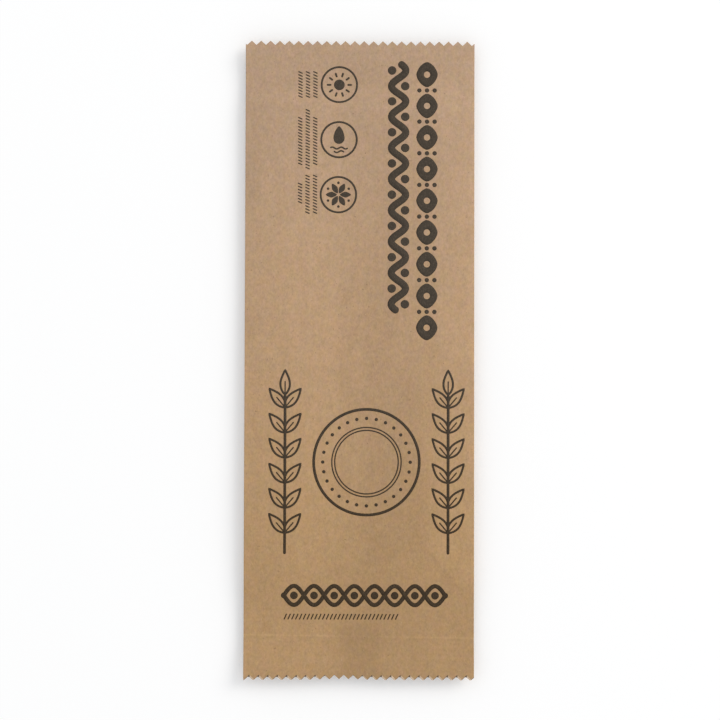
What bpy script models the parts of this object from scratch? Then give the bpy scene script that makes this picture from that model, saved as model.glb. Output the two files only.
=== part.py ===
"""Sealed kraft-paper cutlery packet, lying on its back with the printed face up.

Metres, +Z up. X runs across the packet and Y along it, from its foot at -Y to its
head at +Y. The origin is on the surface that it lies on, under its middle.
"""

import bmesh
import bpy

# What the packet is folded round: a knife and a fork on a folded napkin
CONTENTS_LENGTH = 0.160
CONTENTS_WIDTH = 0.049
CONTENTS_THICKNESS = 0.0045

# Paper, one ply
PAPER = 0.00015

# Slope of the paper: from the contents out to the side folds, and down over each
# end of them, half of it within their length. They lie up against the head's seal,
# with the slack at the foot. The crown is how much lower the front is over the
# contents' long sides than between them.
SIDE_RUN = 0.0130
FOOT_RUN = 0.0160
HEAD_RUN = 0.0100
FOOT_SLACK = 0.0070
CROWN = 0.0005

# End seals, measured from the crease to the tips of the teeth
FOOT_SEAL = 0.0145
HEAD_SEAL = 0.0145

# Height of the side folds and of the end seals above the resting surface. The stiff
# paper lifts them well off it, and the tips a little more.
FOLD_HEIGHT = 0.0033
SEAL_HEIGHT = 0.0027
TIP_CURL = 0.0005

# Zigzag cut. One stroke of the knife ends one packet and starts the next, so the
# foot has its tips where the head has its valleys.
TOOTH_PITCH = 0.00307
TOOTH_DEPTH = 0.0014
FIRST_TIP = 0.00045
BACK_PLY_PROUD = 0.0003
TOOTH_LAND = 0.0006

# Lap seam up the back: where its free edge lies, how sharply the edge steps
# down, and how far beyond it the paper takes to lie flat again
LAP_EDGE = 0.0097
LAP_EDGE_RUN = 0.00006
LAP_RELAX = 0.0045

# Mesh rows along the packet
SLOPE_ROWS = 6
MIDDLE_ROWS = 12

KRAFT_BROWN = (0.45, 0.295, 0.175, 1.0)
KRAFT_ROUGHNESS = 0.85

WIDTH = CONTENTS_WIDTH + 2 * SIDE_RUN
LENGTH = FOOT_SEAL + FOOT_SLACK + FOOT_RUN / 2 + CONTENTS_LENGTH + HEAD_RUN / 2 + HEAD_SEAL
TOP = CONTENTS_THICKNESS + 2 * PAPER
FOOT_CREASE = -LENGTH / 2 + FOOT_SEAL
FOOT_RISE = FOOT_CREASE + FOOT_SLACK
HEAD_CREASE = LENGTH / 2 - HEAD_SEAL
FOOT_ROOT = -LENGTH / 2 + TOOTH_DEPTH + BACK_PLY_PROUD + TOOTH_LAND
HEAD_ROOT = LENGTH / 2 - TOOTH_DEPTH - TOOTH_LAND
FOLD_ROUND = 0.7 * PAPER


def clear_scene():
    """Removes what the scene starts with."""
    for obj in list(bpy.data.objects):
        bpy.data.objects.remove(obj, do_unlink=True)


def smooth(share):
    """An S-curve from 0 to 1 as share goes from 0 to 1, flat at both ends."""
    t = min(max(share, 0.0), 1.0)
    return t * t * (3 - 2 * t)


def rounded(share):
    """A curve from 0 to 1 as share goes from 0 to 1, steepest at the start and flat at the end."""
    t = min(max(share, 0.0), 1.0)
    return t * (2 - t)


def steps(start, end, count):
    """The ends of count equal steps from start to end, without start itself."""
    return [start + (end - start) * (k + 1) / count for k in range(count)]


def column_places():
    """X of each mesh column: the side folds, each tip and valley, and the lap's edge."""
    places = [-WIDTH / 2, WIDTH / 2, LAP_EDGE, LAP_EDGE + LAP_EDGE_RUN, LAP_EDGE + LAP_RELAX]
    x = -WIDTH / 2 + FIRST_TIP
    while x < WIDTH / 2:
        places.append(x)
        x += TOOTH_PITCH / 2
    return sorted(places)


def row_places():
    """Y of each mesh row between the two cut ends, from foot to head."""
    rows = [FOOT_ROOT, (FOOT_ROOT + FOOT_CREASE) / 2, FOOT_CREASE, FOOT_RISE]
    rows += steps(FOOT_RISE, FOOT_RISE + FOOT_RUN, SLOPE_ROWS)
    rows += steps(FOOT_RISE + FOOT_RUN, HEAD_CREASE - HEAD_RUN, MIDDLE_ROWS)
    rows += steps(HEAD_CREASE - HEAD_RUN, HEAD_CREASE, SLOPE_ROWS)
    rows += [(HEAD_ROOT + HEAD_CREASE) / 2, HEAD_ROOT]
    return rows


def knife_line(x):
    """How far the knife's zigzag lies towards -Y at x, from 0 to the tooth depth."""
    phase = ((x + WIDTH / 2 - FIRST_TIP) / TOOTH_PITCH) % 1.0
    return TOOTH_DEPTH * abs(1 - 2 * phase)


def slope_share(y):
    """0 on the end seals and the slack, rising to 1 over the contents."""
    return min(smooth((y - FOOT_RISE) / FOOT_RUN), smooth((HEAD_CREASE - y) / HEAD_RUN))


def fullness(x, y):
    """0 at the side folds and on the end seals, 1 over the contents. The paper leaves each
    side fold at its steepest, as the two plies part there."""
    return rounded((WIDTH / 2 - abs(x)) / SIDE_RUN) * slope_share(y)


def rim_height(y):
    """Height of the middle of the two plies where nothing lies between them."""
    past_crease = max(FOOT_CREASE - y, y - HEAD_CREASE, 0.0)
    curl = TIP_CURL * smooth(past_crease / max(FOOT_SEAL, HEAD_SEAL))
    return SEAL_HEIGHT + (FOLD_HEIGHT - SEAL_HEIGHT) * slope_share(y) + curl


def lap_step(x):
    """How far the back ply stands off beyond the lap's free edge."""
    past_edge = x - LAP_EDGE
    if past_edge <= 0 or past_edge >= LAP_RELAX:
        return 0.0
    if past_edge < LAP_EDGE_RUN:
        return PAPER * past_edge / LAP_EDGE_RUN
    return PAPER * (1 - smooth((past_edge - LAP_EDGE_RUN) / (LAP_RELAX - LAP_EDGE_RUN)))


def front_height(x, y):
    """Height of the printed face."""
    edge = rim_height(y) + PAPER
    crowned_top = TOP - CROWN * smooth(abs(x) / (CONTENTS_WIDTH / 2))
    return edge + (crowned_top - edge) * fullness(x, y)


def back_height(x, y):
    """Height of the back, 0 where it lies on the surface."""
    return (rim_height(y) - PAPER) * (1 - fullness(x, y)) + lap_step(x)


def outline_y(row, x, rows):
    """Y of a mesh row at x. The first and the last row follow the knife's zigzag."""
    if row == 0:
        return -LENGTH / 2 + TOOTH_DEPTH - knife_line(x)
    if row == len(rows) + 1:
        return LENGTH / 2 - knife_line(x)
    return rows[row - 1]


def flat_outline(mesh):
    """The packet's outline as one flat grid."""
    columns = column_places()
    rows = row_places()
    last_column, last_row = len(columns) - 1, len(rows) + 1
    bmesh.ops.create_grid(mesh, x_segments=last_column, y_segments=last_row, size=0.5)
    for vert in mesh.verts:
        x = columns[round((vert.co.x + 0.5) * last_column)]
        row = round((vert.co.y + 0.5) * last_row)
        vert.co = (x, outline_y(row, x, rows), 0.0)


def side_folds(mesh, front):
    """The edges along both sides of the front and of the back."""
    return [
        edge
        for edge in mesh.edges
        if all(abs(abs(vert.co.x) - WIDTH / 2) < PAPER / 100 for vert in edge.verts)
        and (edge.verts[0] in front) == (edge.verts[1] in front)
    ]


def make_packet():
    """The packet as one solid: its flat outline, extruded, then given its heights."""
    mesh = bmesh.new()
    flat_outline(mesh)
    raised = bmesh.ops.extrude_face_region(mesh, geom=mesh.faces[:])["geom"]
    front = {item for item in raised if isinstance(item, bmesh.types.BMVert)}
    folds = side_folds(mesh, front)
    for vert in mesh.verts:
        x, y, _ = vert.co
        if vert in front:
            stands_back = BACK_PLY_PROUD if y < FOOT_ROOT - TOOTH_LAND / 2 else 0.0
            vert.co = (x, y + stands_back, front_height(x, y))
        else:
            vert.co.z = back_height(x, y)
    bmesh.ops.bevel(mesh, geom=folds, offset=FOLD_ROUND, segments=2, profile=0.5, affect="EDGES")
    bmesh.ops.recalc_face_normals(mesh, faces=mesh.faces[:])
    data = bpy.data.meshes.new("paper_packet")
    mesh.to_mesh(data)
    mesh.free()
    return data


def kraft_paper():
    """Uncoated brown kraft paper."""
    material = bpy.data.materials.new("kraft_paper")
    material.use_nodes = True
    surface = material.node_tree.nodes["Principled BSDF"]
    surface.inputs["Base Color"].default_value = KRAFT_BROWN
    surface.inputs["Roughness"].default_value = KRAFT_ROUGHNESS
    surface.inputs["Metallic"].default_value = 0.0
    return material


def main():
    clear_scene()
    packet = bpy.data.objects.new("paper_packet", make_packet())
    packet.data.materials.append(kraft_paper())
    bpy.context.scene.collection.objects.link(packet)


main()
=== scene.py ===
"""Looks of a sealed kraft-paper cutlery packet: its paper, its print and a plain studio.

Metres, +Z up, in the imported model's own frame. The packet lies on its back. X runs
across it, and Y along it, from its foot at -Y to its head at +Y.
"""

import logging
import math
from collections.abc import Callable
from dataclasses import dataclass, field
from enum import Enum
from functools import cached_property

import bmesh
import bpy
import numpy as np
from mathutils import Matrix, Vector


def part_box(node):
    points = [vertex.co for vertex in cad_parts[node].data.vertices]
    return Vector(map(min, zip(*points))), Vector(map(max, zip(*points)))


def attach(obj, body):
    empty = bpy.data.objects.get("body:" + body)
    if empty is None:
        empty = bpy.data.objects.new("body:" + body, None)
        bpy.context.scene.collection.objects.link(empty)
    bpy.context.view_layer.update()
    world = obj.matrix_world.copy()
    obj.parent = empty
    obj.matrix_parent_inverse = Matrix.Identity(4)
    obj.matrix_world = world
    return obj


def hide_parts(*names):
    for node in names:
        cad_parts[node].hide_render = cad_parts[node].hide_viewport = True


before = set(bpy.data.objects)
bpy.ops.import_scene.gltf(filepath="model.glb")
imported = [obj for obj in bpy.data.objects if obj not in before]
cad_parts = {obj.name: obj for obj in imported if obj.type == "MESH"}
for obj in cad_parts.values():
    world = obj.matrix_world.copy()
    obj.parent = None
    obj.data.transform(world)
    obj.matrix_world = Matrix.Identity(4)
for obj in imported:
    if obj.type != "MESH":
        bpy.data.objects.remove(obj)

MM = 0.001
NODE = "paper_packet"
BODY = "root"
SEED_SHIFT = (1.0, 1.7, 0.6)

Pair = tuple[float, float]
Colour = tuple[float, float, float]
Place = Pair | np.ndarray
Patch = tuple[np.ndarray, np.ndarray]
Edge = Callable[[np.ndarray], np.ndarray]
Socket = bpy.types.NodeSocket
Input = Socket | float
Tint = Socket | Colour

LOG = logging.getLogger("packet")


# Shared shapes and mesh helpers


def mm(*sizes: float) -> tuple[float, ...]:
    """Sizes given in millimetres, in metres."""
    return tuple(size * MM for size in sizes)


def smooth(share: np.ndarray) -> np.ndarray:
    """An S-curve, 3t^2 - 2t^3, from 0 to 1 as share goes from 0 to 1, flat beyond both ends."""
    t = np.clip(share, 0.0, 1.0)
    return t * t * (3 - 2 * t)


def rounded(share: np.ndarray) -> np.ndarray:
    """A curve, t(2 - t), from 0 to 1, steepest at 0 and flat from 1 on."""
    t = np.clip(share, 0.0, 1.0)
    return t * (2 - t)


def bell(distance: np.ndarray, width: float) -> np.ndarray:
    """A bell curve, 1 at no distance and 1/e at width."""
    return np.exp(-((distance / width) ** 2))


def plateau(value: np.ndarray, start: float, end: float, run: float) -> np.ndarray:
    """1 between start and end and 0 outside, with an S-curve over run just inside each of them."""
    return smooth((value - start) / run) * smooth((end - value) / run)


def grid_faces(rows: int, columns: int, closed: bool = False) -> np.ndarray:
    """The quads of a grid whose points are numbered row by row.

    Args:
        rows: how many rows of points there are.
        columns: how many points a row has.
        closed: whether each row's last point joins its first.

    Returns:
        One row of four point numbers for each quad.
    """
    steps = columns if closed else columns - 1
    row, column = np.meshgrid(np.arange(rows - 1), np.arange(steps), indexing="ij")
    following = (column + 1) % columns
    corners = [
        row * columns + column,
        row * columns + following,
        (row + 1) * columns + following,
        (row + 1) * columns + column,
    ]
    return np.stack([corner.ravel() for corner in corners], axis=1)


def add_object(name: str, data: bpy.types.ID) -> bpy.types.Object:
    """Puts a new object into the scene.

    Args:
        name: its name.
        data: its mesh, light or camera.

    Returns:
        The new object.
    """
    thing = bpy.data.objects.new(name, data)
    bpy.context.scene.collection.objects.link(thing)
    return thing


def add_piece(name: str, points: np.ndarray, faces: list, sharp_deg: float) -> bpy.types.Object:
    """Makes a smooth-shaded piece of the object that rides on its body.

    Args:
        name: the piece's name.
        points: one row of x, y and z for each vertex.
        faces: the vertex numbers of each face.
        sharp_deg: the angle between faces from which an edge is shaded sharp.

    Returns:
        The new object, with its faces pointing outwards.
    """
    mesh = bpy.data.meshes.new(name)
    mesh.from_pydata(points.tolist(), [], faces)
    mesh.validate()
    mesh.shade_smooth()
    mesh.set_sharp_from_angle(angle=math.radians(sharp_deg))
    piece = add_object(name, mesh)
    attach(piece, BODY)
    return piece


# The packet's form


@dataclass(frozen=True)
class ZigzagKnife:
    """The knife that cuts packet from packet. Each stroke ends one and starts the next."""

    pitch: float = 3.07 * MM
    depth: float = 1.4 * MM
    first_tip: float = 0.45 * MM

    def line(self, from_left: np.ndarray) -> np.ndarray:
        """How far the cut lies towards -Y: a triangle wave of the distance from the left fold."""
        phase = ((from_left - self.first_tip) / self.pitch) % 1.0
        return self.depth * np.abs(1 - 2 * phase)


@dataclass(frozen=True)
class Crease:
    """A sharp line that a fold has left in the paper. Seen along it from start to end, it is width
    wide on the right, and on the left too unless left_width is given."""

    start: Pair
    end: Pair
    height: float
    width: float
    left_width: float | None = None
    fade: float = 0.3

    def height_at(self, x: np.ndarray, y: np.ndarray) -> np.ndarray:
        """A ridge that falls off with the distance from the line, as height * exp(-distance / width),
        and dies out over the first and the last part of the line, each a share fade of it.

        Args:
            x: places across the packet.
            y: places along it.

        Returns:
            The ridge's height at each place.
        """
        a = np.array(self.start)
        run = np.array(self.end) - a
        length = np.hypot(*run)
        along = ((x - a[0]) * run[0] + (y - a[1]) * run[1]) / length
        to_right = ((x - a[0]) * run[1] - (y - a[1]) * run[0]) / length
        width = np.where(to_right < 0, self.left_width or self.width, self.width)
        ends = plateau(along, 0.0, length, self.fade * length)
        return self.height * ends * np.exp(-np.abs(to_right) / width)


@dataclass(frozen=True)
class PressedCrease:
    """The crease along the start of the foot's seal, lower over the lap's extra paper."""

    beyond_seal: float = 0.4 * MM
    slant: float = -0.013
    height: float = 0.14 * MM
    width: float = 0.45 * MM
    lap_left: float = -8 * MM
    lap_right: float = 11 * MM
    lap_run: float = 6 * MM
    lap_share: float = 0.6

    def height_at(self, x: np.ndarray, past_seal: np.ndarray) -> np.ndarray:
        """A ridge along a slanted line, height * exp(-distance / width), less lap_share of it
        over the lap.

        Args:
            x: places across the packet.
            past_seal: how far each place lies towards +Y from the start of the seal.

        Returns:
            The ridge's height at each place.
        """
        over_lap = plateau(x, self.lap_left, self.lap_right, self.lap_run)
        distance = np.abs(past_seal + self.beyond_seal - self.slant * x)
        return self.height * (1 - self.lap_share * over_lap) * np.exp(-distance / self.width)


@dataclass(frozen=True)
class Utensil:
    """What one piece of cutlery presses into the paper over it: a soft long ridge."""

    centre: float
    foot: float
    head: float
    slim: float
    broad: float
    height: float
    neck: float = 0.575
    taper: float = 1.5
    end_run: float = 12 * MM

    def height_at(self, x: np.ndarray, y: np.ndarray) -> np.ndarray:
        """A flat-topped ridge along Y, exp(-(distance / half width)^4). Its half width is slim at the
        neck, a share of the way up, and grows from there as |2 (share - neck)|^taper.

        Args:
            x: places across the packet.
            y: places along it.

        Returns:
            The ridge's height at each place.
        """
        share = np.clip((y - self.foot) / (self.head - self.foot), 0, 1)
        half = self.slim + (self.broad - self.slim) * np.abs(2 * (share - self.neck)) ** self.taper
        ends = plateau(y, self.foot, self.head, self.end_run)
        return self.height * ends * np.exp(-(((x - self.centre) / half) ** 4))


@dataclass(frozen=True)
class Ripples:
    """Gentle unevenness of the paper: a sum of waves in seeded directions."""

    seed: int
    shortest: float
    longest: float
    height: float
    count: int = 16

    def height_at(self, x: np.ndarray, y: np.ndarray) -> np.ndarray:
        """The sum of count sine waves, each as high as its share of the longest wavelength.

        Args:
            x: places across the packet.
            y: places along it.

        Returns:
            The waves' height at each place.
        """
        draw = np.random.default_rng(self.seed)
        total = np.zeros(np.broadcast(x, y).shape)
        for _ in range(self.count):
            wavelength = draw.uniform(self.shortest, self.longest)
            turn = draw.uniform(0, math.pi)
            phase = draw.uniform(0, 2 * math.pi)
            place = x * math.cos(turn) + y * math.sin(turn)
            total += wavelength / self.longest * np.sin(2 * math.pi * place / wavelength + phase)
        return self.height * total / math.sqrt(self.count)


@dataclass(frozen=True)
class PacketForm:
    """The packet's sizes and its front and back as heights over the surface it lies on."""

    width: float
    length: float
    top: float
    paper: float = 0.15 * MM
    contents_width: float = 49 * MM
    side_run: float = 13 * MM
    foot_run: float = 16 * MM
    head_run: float = 10 * MM
    foot_slack: float = 7 * MM
    crown: float = 0.5 * MM
    foot_seal: float = 14.5 * MM
    head_seal: float = 14.5 * MM
    fold_height: float = 3.3 * MM
    seal_height: float = 2.7 * MM
    foot_curl: float = 1.5 * MM
    head_curl: float = 1.1 * MM
    handle_lift: float = 0.7 * MM
    handle_place: float = -45 * MM
    handle_reach: float = 42 * MM
    back_ply_proud: float = 0.52 * MM
    lap_edge: float = 9.7 * MM
    lap_edge_run: float = 0.16 * MM
    lap_relax: float = 4.5 * MM
    settle: float = 0.2 * MM
    knife: ZigzagKnife = ZigzagKnife()
    pressed: PressedCrease = PressedCrease()
    creases: tuple[Crease, ...] = (
        Crease(mm(20.0, -59.0), mm(37.4, -79.0), *mm(0.62, 1.7, 6.0)),
        Crease(mm(-36.5, 45.5), mm(-30.5, 50.0), *mm(-0.07, 0.6)),
        Crease(mm(-1.2, 33.0), mm(-1.0, 8.0), *mm(-0.04, 0.5)),
        Crease(mm(-37.4, -79.6), mm(-27.5, -79.8), *mm(0.06, 0.5)),
        Crease(mm(20.0, -96.0), mm(37.0, -96.6), *mm(-0.05, 0.5)),
    )
    cutlery: tuple[Utensil, ...] = (
        Utensil(*mm(-13.5, -76, 78, 4.6, 9.0, 0.26)),
        Utensil(*mm(15.5, -77, 76, 5.2, 8.4, 0.22)),
    )
    swell: Ripples = Ripples(7, *mm(14, 46, 0.10))
    buckle: Ripples = Ripples(19, *mm(9, 26, 0.16))
    sway: Ripples = Ripples(4, *mm(28, 70, 0.16))

    @property
    def foot_crease(self) -> float:
        """Y of the crease where the foot's seal starts."""
        return -self.length / 2 + self.foot_seal

    @property
    def head_crease(self) -> float:
        """Y of the line where the head's seal starts."""
        return self.length / 2 - self.head_seal

    def slope_share(self, y: np.ndarray) -> np.ndarray:
        """0 on the end seals and the slack, rising by an S-curve to 1 over the contents.

        Args:
            y: places along the packet.

        Returns:
            The share at each place.
        """
        return np.minimum(
            smooth((y - self.foot_crease - self.foot_slack) / self.foot_run),
            smooth((self.head_crease - y) / self.head_run),
        )

    def fullness(self, x: np.ndarray, y: np.ndarray) -> np.ndarray:
        """0 at the side folds, where it is steepest, and on the end seals, 1 over the contents."""
        return rounded((self.width / 2 - np.abs(x)) / self.side_run) * self.slope_share(y)

    def rim_height(self, x: np.ndarray, y: np.ndarray) -> np.ndarray:
        """Height of the middle of the two plies where nothing lies between them: the fold's or
        the seal's height, a swell beside the handles, a curl towards both ends' tips, a slow sway
        and the foot's pressed crease.

        Args:
            x: places across the packet.
            y: places along it.

        Returns:
            The height at each place.
        """
        return (
            self.seal_height
            + (self.fold_height - self.seal_height) * self.slope_share(y)
            + self.handle_lift * bell(y - self.handle_place, self.handle_reach)
            + self.foot_curl * smooth((self.foot_crease - y) / self.foot_seal)
            + self.head_curl * smooth((y - self.head_crease) / self.head_seal)
            + self.sway.height_at(x, y)
            + self.pressed.height_at(x, y - self.foot_crease)
        )

    def lap_step(self, x: np.ndarray) -> np.ndarray:
        """How far the back ply stands off beyond the lap's free edge: one ply at the edge, then
        back to nothing by an S-curve.

        Args:
            x: places across the packet.

        Returns:
            The step at each place.
        """
        past_edge = x - self.lap_edge
        rise = np.clip(past_edge / self.lap_edge_run, 0, 1)
        return self.paper * rise * (1 - smooth((past_edge - self.lap_edge_run) / self.lap_relax))

    def front_height(self, x: np.ndarray, y: np.ndarray) -> np.ndarray:
        """Height of the printed face: the rim, raised to the crowned top over the contents, with the
        cutlery's ridges and a soft swell, which settle brings down to the top, with buckles on the
        slopes, and with the creases.

        Args:
            x: places across the packet.
            y: places along it.

        Returns:
            The height at each place.
        """
        full = self.fullness(x, y)
        edge = self.rim_height(x, y) + self.paper
        crowned_top = self.top - self.crown * smooth(np.abs(x) / (self.contents_width / 2))
        relief = sum(utensil.height_at(x, y) for utensil in self.cutlery)
        relief = relief + self.swell.height_at(x, y) - self.settle
        slope = 4 * full * (1 - full)
        marks = sum(crease.height_at(x, y) for crease in self.creases)
        raised = edge + (crowned_top - edge + relief) * full
        return raised + slope * self.buckle.height_at(x, y) + marks

    def back_height(self, x: np.ndarray, y: np.ndarray) -> np.ndarray:
        """Height of the back: 0 where it lies on the surface, and the rim's at folds and seals."""
        return (self.rim_height(x, y) - self.paper) * (1 - self.fullness(x, y)) + self.lap_step(x)


# Materials


@dataclass
class NodeSketch:
    """The node tree of a material or a world, with short ways to add the nodes that it needs."""

    owner: bpy.types.Material | bpy.types.World

    def __post_init__(self) -> None:
        """Starts from the nodes that the tree comes with."""
        self.owner.use_nodes = True
        self.tree = self.owner.node_tree
        self.surface = self.tree.nodes.get("Principled BSDF")

    @cached_property
    def place(self) -> Socket:
        """The place on the piece, in its own coordinates."""
        return self.add("TexCoord").outputs["Object"]

    @cached_property
    def across_and_along(self) -> tuple[Socket, Socket]:
        """X and Y of the place, from one node.

        Returns:
            The two sockets.
        """
        split = self.add("SeparateXYZ")
        self.link(self.place, split.inputs["Vector"])
        return split.outputs["X"], split.outputs["Y"]

    def add(self, kind: str) -> bpy.types.Node:
        """Adds a shader node."""
        return self.tree.nodes.new("ShaderNode" + kind)

    def link(self, source: Socket, target: Socket) -> None:
        """Joins an output to an input."""
        self.tree.links.new(source, target)

    def feed(self, target: Socket, value: Input | Tint) -> None:
        """Links an output to an input, or sets the input.

        Args:
            target: the input.
            value: an output, a number or a colour.
        """
        if isinstance(value, Socket):
            self.link(value, target)
        else:
            target.default_value = (*value, 1.0) if isinstance(value, tuple) else value

    def dress(self, colour: Tint, roughness: Input, specular: float) -> None:
        """Finishes the surface.

        Args:
            colour: its colour, or a socket.
            roughness: its roughness, or a socket.
            specular: how strongly it reflects.
        """
        self.feed(self.surface.inputs["Base Color"], colour)
        self.feed(self.surface.inputs["Roughness"], roughness)
        self.feed(self.surface.inputs["Specular IOR Level"], specular)

    def noise(self, grain: tuple[float, float, float], detail: float, seed: float) -> Socket:
        """Noise from 0 to 1 over the object's own coordinates.

        Args:
            grain: the length of one cloud along x, y and z, in metres.
            detail: how many finer layers the noise has.
            seed: how far the noise is shifted, which sets it apart from the others.

        Returns:
            The noise's value socket.
        """
        mapping = self.add("Mapping")
        mapping.inputs["Scale"].default_value = [1 / length for length in grain]
        mapping.inputs["Location"].default_value = [seed * share for share in SEED_SHIFT]
        self.link(self.place, mapping.inputs["Vector"])
        noise = self.add("TexNoise")
        noise.inputs["Scale"].default_value = 1.0
        noise.inputs["Detail"].default_value = detail
        self.link(mapping.outputs["Vector"], noise.inputs["Vector"])
        return noise.outputs["Fac"]

    def calc(self, operation: str, first: Input, second: Input = 0.0, third: Input = 0.0) -> Socket:
        """One Math node.

        Args:
            operation: the node's operation, such as MULTIPLY_ADD.
            first: a socket or a number, as are the next two.
            second: the second input.
            third: the third input, where the operation has one.

        Returns:
            The node's value socket.
        """
        node = self.add("Math")
        node.operation = operation
        for socket, value in zip(node.inputs, (first, second, third)):
            self.feed(socket, value)
        return node.outputs["Value"]

    def span(
        self, value: Socket, start: float, end: float, low: float = 0.0, high: float = 1.0
    ) -> Socket:
        """Maps a value with an S-curve, flat beyond both ends.

        Args:
            value: the socket of the value.
            start: the value that becomes low.
            end: the value that becomes high.
            low: the result up to start.
            high: the result from end on.

        Returns:
            The result's socket.
        """
        node = self.add("MapRange")
        node.interpolation_type = "SMOOTHSTEP"
        for name, number in (("From Min", start), ("From Max", end), ("To Min", low), ("To Max", high)):
            node.inputs[name].default_value = number
        self.link(value, node.inputs["Value"])
        return node.outputs["Result"]

    def between(self, value: Socket, rise: Pair, fall: Pair) -> Socket:
        """From 0 to 1 by an S-curve over one span of the value, and back to 0 over another."""
        return self.product(self.span(value, *rise), self.span(value, *fall, 1.0, 0.0))

    def near(self, value: Socket, place: Input, reach: float) -> Socket:
        """1 where value is at place, falling by an S-curve to 0 at reach from it."""
        distance = self.calc("ABSOLUTE", self.calc("SUBTRACT", value, place))
        return self.span(distance, 0.0, reach, 1.0, 0.0)

    def product(self, first: Input, *others: Input) -> Socket:
        """Multiplies its inputs, from the first on.

        Args:
            first: a socket or a number.
            others: more of them.

        Returns:
            The product's socket.
        """
        for other in others:
            first = self.calc("MULTIPLY", first, other)
        return first

    def blend(self, share: Input, first: Tint, second: Tint, kind: str = "MIX") -> Socket:
        """Mixes two colours.

        Args:
            share: how much of the second colour there is, from 0 to 1.
            first: a colour or a socket.
            second: a colour or a socket.
            kind: the blend type.

        Returns:
            The mixed colour's socket.
        """
        node = self.add("Mix")
        node.data_type = "RGBA"
        node.blend_type = kind
        # Places of the share and of the colours among the inputs, which have one name for all types
        for number, value in ((0, share), (6, first), (7, second)):
            self.feed(node.inputs[number], value)
        return node.outputs[2]

    def bump(self, height: Socket, depth: float, strength: float) -> None:
        """Roughens the surface.

        Args:
            height: a socket from 0 to 1.
            depth: the metres that 1 stands for.
            strength: how much of it shows, from 0 to 1.
        """
        node = self.add("Bump")
        node.inputs["Strength"].default_value = strength
        node.inputs["Distance"].default_value = depth
        self.link(height, node.inputs["Height"])
        self.link(node.outputs["Normal"], self.surface.inputs["Normal"])


@dataclass(frozen=True)
class Clouds:
    """One layer of unevenness: the size of its clouds, how strong it is, and its seed. Its clouds
    are as deep as they are wide unless deep is given."""

    across: float
    along: float
    amount: float
    seed: float
    detail: float = 1.0
    deep: float | None = None

    def fac(self, sketch: NodeSketch) -> Socket:
        """The layer as noise from 0 to 1."""
        return sketch.noise((self.across, self.along, self.deep or self.across), self.detail, self.seed)


# The paper's fibres, which show through the ink too
FIBRES = Clouds(*mm(0.16, 0.5), 1.0, 41.5, 3.0, deep=0.2 * MM)


@dataclass(frozen=True)
class PaintedLightPatch:
    """A soft-edged rectangle of painted light, or of painted shade where its amount is negative: where
    each of its edges sets in and is complete, and how much lighter the paper is painted within them."""

    left: Pair
    right: Pair
    foot: Pair
    head: Pair
    amount: float

    def fac(self, sketch: NodeSketch) -> Socket:
        """The amount inside the rectangle and 0 outside, with an S-curve over each edge.

        Args:
            sketch: the material's nodes.

        Returns:
            The socket of the added light.
        """
        x, y = sketch.across_and_along
        return sketch.product(
            sketch.between(x, self.left, self.right),
            sketch.between(y, self.foot, self.head),
            self.amount,
        )


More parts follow.
